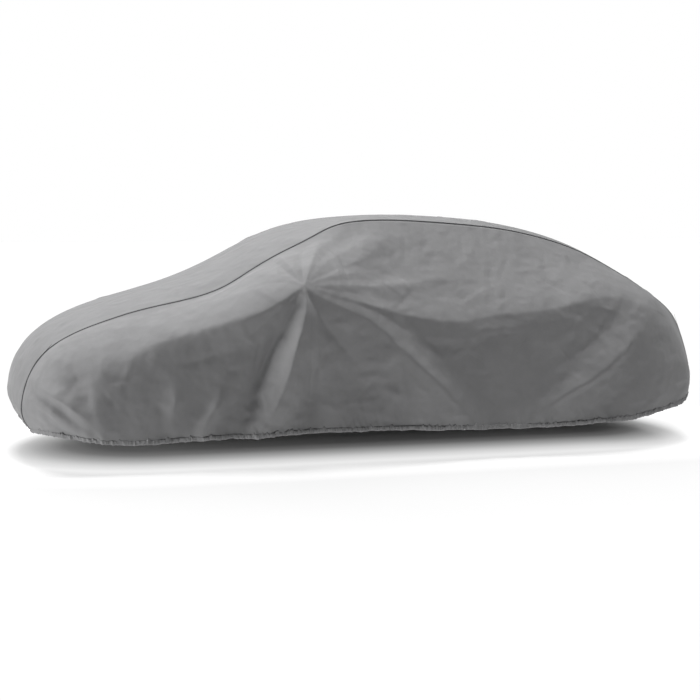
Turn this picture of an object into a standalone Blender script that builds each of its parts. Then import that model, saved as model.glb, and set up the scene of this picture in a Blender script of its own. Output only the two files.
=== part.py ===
"""A fitted car cover of grey non-woven cloth, in the shape in which it hangs.

Stations are measured along the cover from its nose, heights from the ground, and half widths from
its middle plane. The tables give them for the cover's outer face. The origin lies under the top of
the roof, on the cloth's inner face: X runs to the tail, Y to the right side, Z up.
"""
from collections import namedtuple

import bpy
import bmesh
import numpy as np

CLOTH = 0.002             # thickness of the cloth
SEAM_GAP = 0.0003         # between the edges of two panels
TAPE = 0.0012             # thickness of the seam binding
TAPE_HALF_WIDTH = 0.0045
TAPE_LIFT = 0.0003        # from the cloth to the binding

ROOF_STATION = 2.35
ROOF_HEIGHT = 1.456       # of the outer face above the ground

LENGTHWISE_CELLS = 64     # of a side panel, from the nose corner to the tail corner
DOWNWARD_CELLS = 18       # of a side panel, from the seam to the hem
CROSSWISE_CELLS = 6       # of the centre panel

# The centre panel: its edge at the seam, and its middle line.
Section = namedtuple("Section", "name seam_station seam_half_width seam_height crown_station crown_height")
SECTIONS = (
    Section("nose hem", 0.115, 0.420, 0.200, 0.060, 0.262),
    Section("nose low", 0.058, 0.420, 0.285, 0.006, 0.345),
    Section("nose middle", 0.056, 0.420, 0.395, 0.000, 0.440),
    Section("nose high", 0.088, 0.430, 0.512, 0.022, 0.545),
    Section("nose round", 0.155, 0.455, 0.632, 0.082, 0.662),
    Section("bonnet edge", 0.285, 0.500, 0.743, 0.215, 0.788),
    Section("bonnet front", 0.498, 0.540, 0.838, 0.450, 0.905),
    Section("bonnet middle", 0.741, 0.560, 0.912, 0.720, 0.987),
    Section("bonnet back", 1.000, 0.570, 0.967, 1.000, 1.073),
    Section("screen foot", 1.211, 0.570, 1.035, 1.222, 1.167),
    Section("screen low", 1.388, 0.560, 1.137, 1.400, 1.257),
    Section("screen middle", 1.569, 0.540, 1.234, 1.580, 1.343),
    Section("screen high", 1.737, 0.520, 1.313, 1.745, 1.397),
    Section("roof front", 1.900, 0.495, 1.389, 1.905, 1.426),
    Section("roof rise", 2.080, 0.475, 1.421, 2.080, 1.444),
    Section("roof top", 2.350, 0.470, 1.423, 2.350, 1.456),
    Section("roof middle", 2.650, 0.475, 1.404, 2.650, 1.447),
    Section("roof back", 2.950, 0.485, 1.374, 2.955, 1.421),
    Section("rear screen top", 3.200, 0.490, 1.326, 3.212, 1.376),
    Section("rear screen", 3.480, 0.500, 1.238, 3.500, 1.290),
    Section("rear deck", 3.800, 0.500, 1.077, 3.830, 1.130),
    Section("deck edge", 4.060, 0.500, 0.914, 4.105, 0.962),
    Section("tail round", 4.165, 0.500, 0.818, 4.222, 0.852),
    Section("tail high", 4.235, 0.500, 0.683, 4.302, 0.702),
    Section("tail middle", 4.280, 0.500, 0.545, 4.352, 0.552),
    Section("tail low", 4.302, 0.500, 0.406, 4.370, 0.410),
    Section("tail hem", 4.285, 0.500, 0.290, 4.345, 0.300),
)
CROWN_POWER = 2.2         # how flat the centre panel is across its middle

# A side panel: ribs from the seam, at the named section, over the shoulder and the waist to the hem.
NOSE_CORNER = "nose round"
TAIL_CORNER = "tail high"
Rib = namedtuple("Rib", "name section shoulder waist hem")
RIBS = (
    Rib("nose turn", "bonnet edge", (0.168, 0.620, 0.585), (0.135, 0.632, 0.390), (0.170, 0.600, 0.212)),
    Rib("front corner", "bonnet front", (0.350, 0.775, 0.650), (0.300, 0.805, 0.420), (0.320, 0.772, 0.200)),
    Rib("front arch", "bonnet middle", (0.650, 0.860, 0.690), (0.600, 0.895, 0.430), (0.610, 0.865, 0.172)),
    Rib("wing", "bonnet back", (0.985, 0.895, 0.765), (0.960, 0.917, 0.460), (0.960, 0.885, 0.182)),
    Rib("door front", "screen foot", (1.250, 0.915, 0.845), (1.250, 0.925, 0.500), (1.255, 0.890, 0.188)),
    Rib("mirror", "screen middle", (1.590, 0.930, 0.960), (1.590, 0.930, 0.540), (1.600, 0.890, 0.197)),
    Rib("door", "roof front", (1.920, 0.905, 0.930), (1.940, 0.925, 0.540), (1.960, 0.890, 0.200)),
    Rib("middle", "roof top", (2.350, 0.880, 0.870), (2.360, 0.915, 0.540), (2.365, 0.890, 0.192)),
    Rib("rear door", "roof back", (2.890, 0.862, 0.870), (2.860, 0.908, 0.540), (2.830, 0.890, 0.183)),
    Rib("rear arch", "rear screen", (3.390, 0.842, 0.900), (3.310, 0.903, 0.540), (3.270, 0.885, 0.180)),
    Rib("rear wing", "rear deck", (3.700, 0.818, 0.885), (3.620, 0.888, 0.530), (3.580, 0.872, 0.190)),
    Rib("rear corner", "deck edge", (3.985, 0.752, 0.785), (3.950, 0.830, 0.500), (3.900, 0.818, 0.224)),
    Rib("tail turn", "tail round", (4.150, 0.645, 0.660), (4.180, 0.688, 0.465), (4.145, 0.688, 0.262)),
)
SHOULDER_AT = 0.42        # share of the way from the seam to the hem
WAIST_AT = 0.72
CORNER_REACH = 0.10       # share of the panel's length over which it bends to meet the nose or tail

# The cloth stands out at each mirror pocket, like a tent over its pole.
MIRROR = (1.615, 0.985)   # station and height of the cloth that the tip lifts
MIRROR_RISE = 0.095
MIRROR_ROUND = 0.020      # radius of the tip
MIRROR_HOLLOW = 1.5       # 1 for straight slopes from the tip, more for hollow ones
Reach = namedtuple("Reach", "degrees distance")   # from rearwards over upwards, seen from the left side
MIRROR_REACHES = (
    Reach(0, 0.75),
    Reach(45, 0.45),
    Reach(90, 0.30),
    Reach(135, 0.30),
    Reach(180, 0.60),
    Reach(225, 0.70),
    Reach(270, 0.75),
    Reach(315, 0.75),
    Reach(360, 0.75),
)

# Folds of a side panel: their line as (station, height), how far the cloth stands out along it, and
# how far each flank runs to the left and right of the line as it is followed.
Fold = namedtuple("Fold", "name line rises left right")
FOLDS = (
    Fold("ridge under the mirror",
         ((1.612, 0.970), (1.580, 0.760), (1.540, 0.570), (1.460, 0.340), (1.360, 0.200)),
         (0.003, 0.036, 0.052, 0.046, 0.018), 0.18, 0.13),
    Fold("valley before that ridge",
         ((1.590, 0.950), (1.510, 0.790), (1.425, 0.630), (1.360, 0.480), (1.300, 0.250)),
         (-0.003, -0.030, -0.040, -0.034, -0.015), 0.08, 0.22),
    Fold("shoulder line of the wing",
         ((1.580, 0.990), (1.470, 0.930), (1.310, 0.865), (1.060, 0.795), (0.770, 0.722),
          (0.640, 0.660), (0.600, 0.540)),
         (0.006, 0.044, 0.056, 0.048, 0.042, 0.027, 0.006), 0.14, 0.20),
    Fold("shoulder line of the doors",
         ((1.660, 0.985), (1.880, 0.930), (2.200, 0.868), (2.570, 0.822), (2.850, 0.858),
          (3.100, 0.870), (3.400, 0.925), (3.670, 0.930), (3.830, 0.880)),
         (0.006, 0.032, 0.038, 0.032, 0.027, 0.027, 0.030, 0.028, 0.010), 0.22, 0.13),
    Fold("ridge from the shoulder to the hem",
         ((1.780, 0.950), (1.960, 0.850), (2.200, 0.655), (2.410, 0.475), (2.580, 0.300), (2.720, 0.190)),
         (0.003, 0.032, 0.058, 0.056, 0.042, 0.018), 0.15, 0.26),
    Fold("ridge from the tail to the hem",
         ((3.830, 0.820), (3.660, 0.650), (3.450, 0.490), (3.240, 0.380), (3.080, 0.270), (2.920, 0.195)),
         (0.012, 0.036, 0.046, 0.040, 0.030, 0.014), 0.20, 0.17),
    Fold("upper ridge of the front corner",
         ((0.090, 0.505), (0.160, 0.482), (0.260, 0.430), (0.370, 0.345), (0.450, 0.250)),
         (0.006, 0.020, 0.030, 0.024, 0.010), 0.10, 0.08),
    Fold("lower ridge of the front corner",
         ((0.100, 0.435), (0.170, 0.400), (0.260, 0.335), (0.390, 0.245)),
         (0.006, 0.016, 0.020, 0.010), 0.07, 0.08),
    Fold("dent at the front corner", ((0.320, 0.650), (0.330, 0.560), (0.380, 0.430)),
         (-0.006, -0.020, -0.006), 0.09, 0.09),
    Fold("ridge before the arch", ((0.420, 0.750), (0.440, 0.600), (0.465, 0.430), (0.480, 0.270)),
         (0.006, 0.018, 0.016, 0.010), 0.12, 0.08),
    Fold("pleat over the arch", ((0.860, 0.560), (0.860, 0.430), (0.850, 0.300)),
         (0.003, 0.014, 0.006), 0.09, 0.08),
    Fold("pleat behind the arch", ((1.150, 0.510), (1.090, 0.390), (1.020, 0.260)),
         (0.003, 0.020, 0.012), 0.08, 0.08),
    Fold("hollow under the door", ((1.660, 0.580), (1.665, 0.440), (1.655, 0.280)),
         (-0.003, -0.018, -0.010), 0.09, 0.08),
    Fold("forward streak to the seam", ((1.605, 1.010), (1.590, 1.090), (1.560, 1.180)),
         (0.006, 0.020, 0.010), 0.07, 0.07),
    Fold("upward streak to the seam", ((1.632, 1.005), (1.705, 1.140), (1.810, 1.300)),
         (0.006, 0.024, 0.012), 0.07, 0.07),
    Fold("ridge to the roof",
         ((1.660, 1.000), (1.800, 1.085), (1.970, 1.165), (2.130, 1.255), (2.280, 1.350)),
         (0.006, 0.026, 0.029, 0.022, 0.006), 0.12, 0.14),
    Fold("ridge over the windows", ((1.700, 0.995), (2.000, 1.015), (2.400, 1.060), (2.800, 1.060)),
         (0.006, 0.018, 0.010, 0.003), 0.09, 0.10),
    Fold("ridge over the wing", ((1.560, 1.010), (1.400, 0.990), (1.230, 0.955), (1.050, 0.900)),
         (0.005, 0.013, 0.010, 0.003), 0.08, 0.08),
)
CREST_ROUND = 0.012       # radius of a fold's crest
FOLD_STEPS = 8            # straight steps for each point of its line
SEAM_STIFFNESS = 0.12     # share of the way down over which the seam keeps the cloth flat
END_STIFFNESS = 0.03      # share of the way along, from the nose and the tail seam

# The elastic draws the hem into shallow waves, crowded and spread by a slow swing along the hem.
HEM_WAVES = 15
HEM_WAVE_RISE = 0.005
HEM_WAVE_REACH = 0.14     # share of the way up from the hem
HEM_SWINGS = 4
HEM_SWING = 1.3           # radians by which it moves the waves

# The right side hangs a little slacker, and its folds lie further back.
Hang = namedtuple("Hang", "side slackness shift_back")
LEFT = Hang(-1, 1.00, 0.000)
RIGHT = Hang(1, 0.85, 0.035)


def smooth_curve(knots, values):
    """Returns the natural cubic spline through the values at the rising knots."""
    knots = np.asarray(knots, dtype=float)
    values = np.asarray(values, dtype=float)
    steps = np.diff(knots)
    system = np.eye(len(knots))
    bends = np.zeros_like(values)
    for row in range(1, len(knots) - 1):
        before, after = steps[row - 1], steps[row]
        system[row, row - 1:row + 2] = before, 2 * (before + after), after
        rise = (values[row + 1] - values[row]) / after
        bends[row] = 6 * (rise - (values[row] - values[row - 1]) / before)
    bends = np.linalg.solve(system, bends)

    def curve(places):
        places = np.clip(places, knots[0], knots[-1])
        span = np.clip(np.searchsorted(knots, places, side="right") - 1, 0, len(steps) - 1)
        step = steps[span][..., None]
        back = (places - knots[span])[..., None]
        ahead = step - back
        chord = (ahead * values[span] + back * values[span + 1]) / step
        sag_behind = bends[span] * ahead * (ahead * ahead - step * step)
        sag_ahead = bends[span + 1] * back * (back * back - step * step)
        return chord + (sag_behind + sag_ahead) / (6 * step)

    return curve


def unit(vectors):
    return vectors / np.linalg.norm(vectors, axis=-1, keepdims=True)


def seam_rows():
    return np.array([(row.seam_station, row.seam_half_width, row.seam_height) for row in SECTIONS])


def crown_rows():
    return np.array([(row.crown_station, 0.0, row.crown_height) for row in SECTIONS])


def seam_knots():
    """The sections' places along the seam, from 0 at the nose's hem to 1 at the tail's."""
    along = np.cumsum(np.linalg.norm(np.diff(seam_rows(), axis=0), axis=1))
    return np.concatenate([[0.0], along]) / along[-1]


def knot_of(section_name):
    names = [row.name for row in SECTIONS]
    return seam_knots()[names.index(section_name)]


def seam_places():
    """Where the panels' cells meet the seam: up the nose, along the top and down the tail."""
    nose = knot_of(NOSE_CORNER)
    tail = knot_of(TAIL_CORNER)
    up = np.linspace(0.0, nose, DOWNWARD_CELLS + 1)
    over = np.linspace(nose, tail, LENGTHWISE_CELLS + 1)
    down = np.linspace(tail, 1.0, DOWNWARD_CELLS + 1)
    return np.concatenate([up[:-1], over, down[1:]])


def centre_surface():
    """The centre panel's right half as a grid: rows along the seam, columns from middle to seam."""
    places = seam_places()
    seam = smooth_curve(seam_knots(), seam_rows())(places)[:, None]
    crown = smooth_curve(seam_knots(), crown_rows())(places)[:, None]
    share = np.linspace(0.0, 1.0, CROSSWISE_CELLS // 2 + 1)[None, :, None]
    surface = crown + (seam - crown) * share ** CROWN_POWER
    surface[..., 1] = (seam * share)[..., 1]
    return surface


def rib_grid(lengthwise, downward):
    """The side panel from its ribs alone, before its short edges are drawn to the seam."""
    seam = smooth_curve(seam_knots(), seam_rows())
    nose = knot_of(NOSE_CORNER)
    tail = knot_of(TAIL_CORNER)
    shares = [0.0] + [(knot_of(rib.section) - nose) / (tail - nose) for rib in RIBS] + [1.0]
    levels = (0.0, SHOULDER_AT, WAIST_AT, 1.0)
    front = seam(nose * (1 - np.array(levels)))
    back = seam(tail + (1 - tail) * np.array(levels))
    rails = [seam(nose + (tail - nose) * lengthwise)]
    for index, part in enumerate(("shoulder", "waist", "hem"), start=1):
        points = [front[index]] + [getattr(rib, part) for rib in RIBS] + [back[index]]
        rails.append(smooth_curve(shares, points)(lengthwise))
    rails = np.stack(rails)
    flat = rails.reshape(len(levels), -1)
    grid = smooth_curve(levels, flat)(downward)
    return grid.reshape(len(downward), len(lengthwise), 3).transpose(1, 0, 2)


def side_surface():
    """A side panel without its folds: rows from nose to tail, columns from the seam to the hem."""
    lengthwise = np.linspace(0.0, 1.0, LENGTHWISE_CELLS + 1)
    downward = np.linspace(0.0, 1.0, DOWNWARD_CELLS + 1)
    surface = rib_grid(lengthwise, downward)
    seam = smooth_curve(seam_knots(), seam_rows())
    nose = seam(knot_of(NOSE_CORNER) * (1 - downward))
    tail = seam(knot_of(TAIL_CORNER) + (1 - knot_of(TAIL_CORNER)) * downward)
    near_nose = np.clip(1 - lengthwise / CORNER_REACH, 0, 1)[:, None, None] ** 2
    near_tail = np.clip(1 - (1 - lengthwise) / CORNER_REACH, 0, 1)[:, None, None] ** 2
    to_nose = nose - surface[0]
    to_tail = tail - surface[-1]
    return surface + near_nose * to_nose[None] + near_tail * to_tail[None]


def face_directions(surface):
    """The outward unit normals of a grid on the right side."""
    along = np.gradient(surface, axis=0)
    across = np.gradient(surface, axis=1)
    return unit(np.cross(along, across))


def crest(distance, spread):
    """A soft ridge: 1 on its line, with straight flanks that end flat at the spread."""
    rounded = np.sqrt(distance ** 2 + CREST_ROUND ** 2) - CREST_ROUND
    share = np.clip(rounded / spread, 0.0, 1.0)
    return (1 - share) ** 2 * (1 + share)


def fold_rise(fold, stations, heights):
    """How far one fold lifts the cloth at each station and height."""
    line = np.array(fold.line)
    knots = np.concatenate([[0.0], np.cumsum(np.linalg.norm(np.diff(line, axis=0), axis=1))])
    steps = np.linspace(0.0, knots[-1], FOLD_STEPS * len(line))
    points = smooth_curve(knots, line)(steps)
    rises = np.interp(steps, np.linspace(0.0, knots[-1], len(fold.rises)), fold.rises)
    nearest = np.full(stations.shape, np.inf)
    result = np.zeros(stations.shape)
    for start, end, rise_start, rise_end in zip(points[:-1], points[1:], rises[:-1], rises[1:]):
        run = end - start
        from_start = stations - start[0], heights - start[1]
        share = np.clip((from_start[0] * run[0] + from_start[1] * run[1]) / run.dot(run), 0.0, 1.0)
        off = from_start[0] - share * run[0], from_start[1] - share * run[1]
        distance = np.hypot(*off)
        is_left = run[0] * off[1] - run[1] * off[0] > 0
        rise = crest(distance, np.where(is_left, fold.left, fold.right))
        rise = rise * (rise_start + share * (rise_end - rise_start))
        result = np.where(distance < nearest, rise, result)
        nearest = np.minimum(nearest, distance)
    return result


def mirror_rise(stations, heights):
    """How far the mirror holds the cloth out."""
    along = stations - MIRROR[0]
    up = heights - MIRROR[1]
    degrees = np.degrees(np.arctan2(up, along)) % 360
    knots = [reach.degrees for reach in MIRROR_REACHES]
    distances = [[reach.distance] for reach in MIRROR_REACHES]
    reach = smooth_curve(knots, distances)(degrees)[..., 0]
    distance = np.sqrt(along ** 2 + up ** 2 + MIRROR_ROUND ** 2) - MIRROR_ROUND
    share = np.clip(distance / reach, 0.0, 1.0)
    return MIRROR_RISE * (1 - share) ** MIRROR_HOLLOW


def hem_rise(lengthwise, downward):
    """The waves of the gathered hem, uneven along it and fading upwards."""
    swing = HEM_SWING * np.sin(2 * np.pi * HEM_SWINGS * lengthwise)
    wave = np.sin(2 * np.pi * HEM_WAVES * lengthwise + swing)
    near_hem = np.clip((downward - 1 + HEM_WAVE_REACH) / HEM_WAVE_REACH, 0.0, 1.0)
    return HEM_WAVE_RISE * wave * near_hem ** 2


def folded_side(hang):
    """A side panel with the mirror's tent and its folds, as if on the right side."""
    surface = side_surface()
    lengthwise = np.linspace(0.0, 1.0, LENGTHWISE_CELLS + 1)[:, None]
    downward = np.linspace(0.0, 1.0, DOWNWARD_CELLS + 1)[None, :]
    stations, heights = surface[..., 0], surface[..., 2]
    rise = mirror_rise(stations, heights) + hem_rise(lengthwise, downward)
    for fold in FOLDS:
        rise = rise + hang.slackness * fold_rise(fold, stations - hang.shift_back, heights)
    to_end = np.minimum(lengthwise, 1 - lengthwise)
    loose = np.clip(np.minimum(downward / SEAM_STIFFNESS, to_end / END_STIFFNESS), 0.0, 1.0)
    rise = rise * loose ** 2 * (3 - 2 * loose)
    return surface + face_directions(surface) * rise[..., None]


def seam_cells():
    """The side panel's cells along the seam, from the nose's hem over the top to the tail's hem."""
    up = [(0, column) for column in range(DOWNWARD_CELLS, 0, -1)]
    over = [(row, 0) for row in range(LENGTHWISE_CELLS + 1)]
    down = [(LENGTHWISE_CELLS, column) for column in range(1, DOWNWARD_CELLS + 1)]
    return up + over + down


def inner_neighbour(row, column):
    """The side panel's cell next to one on the seam, one step away from it."""
    at_end = row in (0, LENGTHWISE_CELLS)
    inner_row = min(max(row, 1), LENGTHWISE_CELLS - 1)
    return inner_row, (max(column, 1) if at_end else column + 1)


Flank = namedtuple("Flank", "into up")


def flank_of(points, neighbours, along, turn):
    """The ways into a panel, one unit clear of its seam, and up from it, at each of its points."""
    into = unit(neighbours - points)
    clear = into - (into * along).sum(-1, keepdims=True) * along
    into = into / np.linalg.norm(clear, axis=-1, keepdims=True)
    return Flank(into, unit(np.cross(into, along)) * turn)


Seam = namedtuple("Seam", "points up across centre side")


def seam_of(centre, panel):
    """The seam between the centre panel's half and a side panel, with the flanks beside it."""
    points = centre[:, -1]
    along = unit(np.gradient(points, axis=0))
    neighbours = np.array([panel[inner_neighbour(*cell)] for cell in seam_cells()])
    centre_flank = flank_of(points, centre[:, -2], along, 1)
    side_flank = flank_of(points, neighbours, along, -1)
    up = unit(centre_flank.up + side_flank.up)
    return Seam(points, up, unit(np.cross(up, along)), centre_flank, side_flank)


def to_part(points, side):
    """From stations, half widths and heights to the part's own frame, on the side asked for."""
    placed = points * (1, side, 1)
    return placed - (ROOF_STATION, 0, ROOF_HEIGHT - CLOTH)


def cloth_piece(name, outer, normals, thickness, material, splits=()):
    """One closed sheet: its outer face on a grid of points, its inner face a thickness below."""
    rows, columns = outer.shape[:2]
    shell = bmesh.new()
    bmesh.ops.create_grid(shell, x_segments=columns - 1, y_segments=rows - 1, size=1.0)
    shell.verts.ensure_lookup_table()
    for ends in splits:
        bmesh.ops.connect_verts(shell, verts=[shell.verts[row * columns + column] for row, column in ends])
    inward = shell.verts.layers.float_vector.new("inward")
    for vertex, place, normal in zip(shell.verts, outer.reshape(-1, 3), normals.reshape(-1, 3)):
        vertex.co = place
        vertex[inward] = -thickness * normal
    doubled = bmesh.ops.extrude_face_region(shell, geom=shell.faces[:], use_keep_orig=True)
    for item in doubled["geom"]:
        if isinstance(item, bmesh.types.BMVert):
            item.co += item[inward]
    bmesh.ops.recalc_face_normals(shell, faces=shell.faces[:])
    mesh = bpy.data.meshes.new(name)
    shell.to_mesh(mesh)
    shell.free()
    mesh.shade_smooth()
    mesh.materials.append(material)
    piece = bpy.data.objects.new(name, mesh)
    bpy.context.collection.objects.link(piece)
    return piece


def cloth_material(name, colour, roughness):
    material = bpy.data.materials.new(name)
    material.use_nodes = True
    shader = material.node_tree.nodes["Principled BSDF"]
    shader.inputs["Base Color"].default_value = (*colour, 1.0)
    shader.inputs["Roughness"].default_value = roughness
    shader.inputs["Metallic"].default_value = 0.0
    return material


def hollow_splits(panel, normals):
    """Diagonals of the cells along the seam, each the lower of the two, so that the binding clears them."""
    rows, columns = panel.shape[:2]
    cells = [(row, 0) for row in range(1, rows - 2)]
    cells += [(row, column) for row in (0, rows - 2) for column in range(1, columns - 1)]
    splits = [((0, 0), (1, 1)), ((rows - 1, 0), (rows - 2, 1))]
    for row, column in cells:
        falling = (row, column), (row + 1, column + 1)
        rising = (row + 1, column), (row, column + 1)
        middles = [panel[start] + panel[end] for start, end in (falling, rising)]
        is_falling_higher = (middles[0] - middles[1]).dot(normals[row, column]) > 0
        splits.append(rising if is_falling_higher else falling)
    return splits


def build_side(name, hang, material):
    panel = folded_side(hang)
    seam = seam_of(centre_surface(), panel)
    normals = face_directions(panel)
    edge = seam.points + seam.across * SEAM_GAP / 2
    for cell, place, up in zip(seam_cells(), edge, seam.up):
        panel[cell] = place
        normals[cell] = up
    splits = hollow_splits(panel, normals)
    return cloth_piece(name, to_part(panel, hang.side), normals * (1, hang.side, 1), CLOTH, material, splits)


def centre_half(hang):
    """The centre panel from its middle to one seam: outer points and the ways up from them."""
    surface = centre_surface()
    seam = seam_of(surface, folded_side(hang))
    normals = face_directions(surface)
    normals[:, 0] = unit(normals[:, 0] * (1, 0, 1))
    normals[:, -1] = seam.up
    surface[:, -1] = seam.points - seam.across * SEAM_GAP / 2
    return to_part(surface, hang.side), normals * (1, hang.side, 1)


def build_centre(material):
    left, left_normals = centre_half(LEFT)
    right, right_normals = centre_half(RIGHT)
    outer = np.concatenate([left[:, :0:-1], right], axis=1)
    normals = np.concatenate([left_normals[:, :0:-1], right_normals], axis=1)
    return cloth_piece("centre_panel", outer, normals, CLOTH, material)


def build_binding(name, hang, material):
    """A tape bent over the seam, its flanks flat on the two panels."""
    seam = seam_of(centre_surface(), folded_side(hang))
    lift = TAPE_LIFT + TAPE
    lean = (seam.up * seam.side.up).sum(-1, keepdims=True)
    ridge = seam.points + seam.up * lift / lean
    centre_edge = seam.points + seam.centre.into * TAPE_HALF_WIDTH + seam.centre.up * lift
    side_edge = seam.points + seam.side.into * TAPE_HALF_WIDTH + seam.side.up * lift
    outer = np.stack([centre_edge, ridge, side_edge], axis=1)
    normals = np.stack([seam.centre.up, seam.up / lean, seam.side.up], axis=1)
    return cloth_piece(name, to_part(outer, hang.side), normals * (1, hang.side, 1), TAPE, material)


def main():
    for old in list(bpy.data.objects):
        bpy.data.objects.remove(old)
    cloth = cloth_material("grey cloth", (0.22, 0.22, 0.225), 0.85)
    tape = cloth_material("dark seam tape", (0.09, 0.09, 0.095), 0.80)
    build_centre(cloth)
    for hand, hang in (("left", LEFT), ("right", RIGHT)):
        build_side("side_panel_" + hand, hang, cloth)
        build_binding("seam_binding_" + hand, hang, tape)


main()
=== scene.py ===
"""Dresses a fitted cover of grey non-woven cloth, with crisp folds, a gathered hem and bound seams.

The tables give the cover's outer face as stations from its nose, half widths from its middle plane
and heights from the ground. The frame's origin lies under the top of the roof: X runs to the tail,
Y to the right side, Z up. Sizes are in metres, apart from those of the sections, ribs, folds, fan
and creases, which are in millimetres.
"""
import math
from collections import namedtuple

import bmesh
import bpy
import numpy as np
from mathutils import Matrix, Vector


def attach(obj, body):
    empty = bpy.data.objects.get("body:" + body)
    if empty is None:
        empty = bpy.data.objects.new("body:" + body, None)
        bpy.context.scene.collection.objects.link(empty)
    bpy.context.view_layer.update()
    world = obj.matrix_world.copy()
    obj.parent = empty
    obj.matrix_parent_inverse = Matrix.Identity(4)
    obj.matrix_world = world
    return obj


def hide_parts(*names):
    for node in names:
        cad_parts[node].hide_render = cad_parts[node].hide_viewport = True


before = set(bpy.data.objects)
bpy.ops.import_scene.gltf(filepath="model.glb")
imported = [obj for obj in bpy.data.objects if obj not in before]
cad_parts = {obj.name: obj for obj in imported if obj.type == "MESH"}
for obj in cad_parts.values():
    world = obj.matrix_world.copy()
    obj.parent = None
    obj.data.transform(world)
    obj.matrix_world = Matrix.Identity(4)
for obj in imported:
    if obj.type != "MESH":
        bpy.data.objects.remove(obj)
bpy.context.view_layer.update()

# ---------------------------------------------------------------- the cover's sizes

CLOTH = 0.0012            # thickness of the sheet
SEAM_GAP = 0.0003         # between the edges of two panels
TAPE = 0.0010             # thickness of the seam binding
TAPE_HALF_WIDTH = 0.0062
TAPE_LIFT = 0.0004        # from the cloth to the binding
TAPE_COLUMNS = (0.4, 0.8, 1.0)   # shares of the half width at which its points lie

ROOF_STATION = 2.35
ROOF_HEIGHT = 1.456       # of the outer face above the ground
PACKED_CLOTH = 0.002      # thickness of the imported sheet, whose inner face is at the origin
GROUND = PACKED_CLOTH - ROOF_HEIGHT
MILLIMETRES = 1000        # in a metre

LENGTHWISE_CELLS = 400    # of a side panel, from the nose corner to the tail corner
DOWNWARD_CELLS = 116      # of a side panel, from the seam to the hem
CROSSWISE_CELLS = 56      # of the centre panel
CROWDING = 1.4            # how much closer the cells lie at the mirror pocket than far from it
CROWD_ALONG = 0.10        # share of the panel's length over which they do
CROWD_DOWN = 0.16         # share of its way from the seam to the hem
CROWD_SAMPLES = 1001      # places at which the crowding is summed up

# The centre panel: its edge at the seam, and its middle line.
Section = namedtuple(
    "Section", "name seam_station seam_half_width seam_height crown_station crown_height")
SECTIONS = (
    Section("nose hem", 115, 420, 200, 60, 262),
    Section("nose low", 58, 420, 285, 6, 345),
    Section("nose middle", 56, 420, 395, 0, 440),
    Section("nose high", 88, 430, 512, 22, 545),
    Section("nose round", 155, 455, 632, 82, 662),
    Section("bonnet edge", 285, 500, 743, 215, 788),
    Section("bonnet front", 498, 540, 838, 450, 905),
    Section("bonnet middle", 741, 560, 912, 720, 987),
    Section("bonnet back", 1000, 570, 967, 1000, 1073),
    Section("screen foot", 1211, 570, 1035, 1222, 1167),
    Section("screen low", 1388, 560, 1137, 1400, 1257),
    Section("screen middle", 1569, 540, 1234, 1580, 1343),
    Section("screen high", 1737, 520, 1313, 1745, 1397),
    Section("roof front", 1900, 495, 1389, 1905, 1426),
    Section("roof rise", 2080, 475, 1421, 2080, 1444),
    Section("roof top", 2350, 470, 1423, 2350, 1456),
    Section("roof middle", 2650, 475, 1404, 2650, 1447),
    Section("roof back", 2950, 485, 1374, 2955, 1421),
    Section("rear screen top", 3200, 490, 1326, 3212, 1376),
    Section("rear screen", 3480, 500, 1238, 3500, 1290),
    Section("rear deck", 3800, 500, 1077, 3830, 1130),
    Section("deck edge", 4060, 500, 914, 4105, 962),
    Section("tail round", 4165, 500, 818, 4222, 852),
    Section("tail high", 4235, 500, 683, 4302, 702),
    Section("tail middle", 4280, 500, 545, 4352, 552),
    Section("tail low", 4302, 500, 406, 4370, 410),
    Section("tail hem", 4285, 500, 290, 4345, 300),
)
CROWN_POWER = 2.2         # how flat the centre panel is across its middle

# A side panel: ribs from the seam at the named section, over the shoulder and the waist to the hem.
NOSE_CORNER = "nose round"
TAIL_CORNER = "tail high"
Rib = namedtuple("Rib", "section shoulder waist hem")
RIBS = (
    Rib("bonnet edge", (168, 620, 585), (135, 632, 390), (170, 600, 212)),
    Rib("bonnet front", (350, 775, 650), (300, 805, 420), (320, 772, 200)),
    Rib("bonnet middle", (650, 860, 690), (600, 895, 430), (610, 865, 172)),
    Rib("bonnet back", (985, 895, 765), (960, 917, 460), (960, 885, 182)),
    Rib("screen foot", (1250, 915, 845), (1250, 925, 500), (1255, 890, 188)),
    Rib("screen middle", (1590, 930, 960), (1590, 930, 540), (1600, 890, 197)),
    Rib("roof front", (1920, 905, 930), (1940, 925, 540), (1960, 890, 200)),
    Rib("roof top", (2350, 880, 870), (2360, 915, 540), (2365, 890, 192)),
    Rib("roof back", (2890, 862, 870), (2860, 908, 540), (2830, 890, 183)),
    Rib("rear screen", (3390, 842, 900), (3310, 903, 540), (3270, 885, 180)),
    Rib("rear deck", (3700, 818, 885), (3620, 888, 530), (3580, 872, 190)),
    Rib("deck edge", (3985, 752, 785), (3950, 830, 500), (3900, 818, 224)),
    Rib("tail round", (4150, 645, 660), (4180, 688, 465), (4145, 688, 262)),
)
SHOULDER_AT = 0.42        # share of the way from the seam to the hem
WAIST_AT = 0.72
CORNER_REACH = 0.10       # share of the panel's length over which it bends to meet the nose or tail

# The cloth stands out at each mirror pocket, like a tent over its pole.
MIRROR = (1.600, 1.012)   # station and height of the cloth that the tip lifts
MIRROR_AT = 0.34          # share of the way from the seam to the hem
MIRROR_RISE = 0.095
MIRROR_ROUND = 0.005      # radius of the tip
MIRROR_HOLLOW = 1.7       # 1 for straight slopes from the tip, more for hollow ones
MIRROR_REACHES = (        # degrees from rearwards over upwards, seen from the left, and distance
    (0, 0.75), (45, 0.45), (90, 0.30), (135, 0.30), (180, 0.60),
    (225, 0.70), (270, 0.75), (315, 0.75), (360, 0.75),
)

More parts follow.
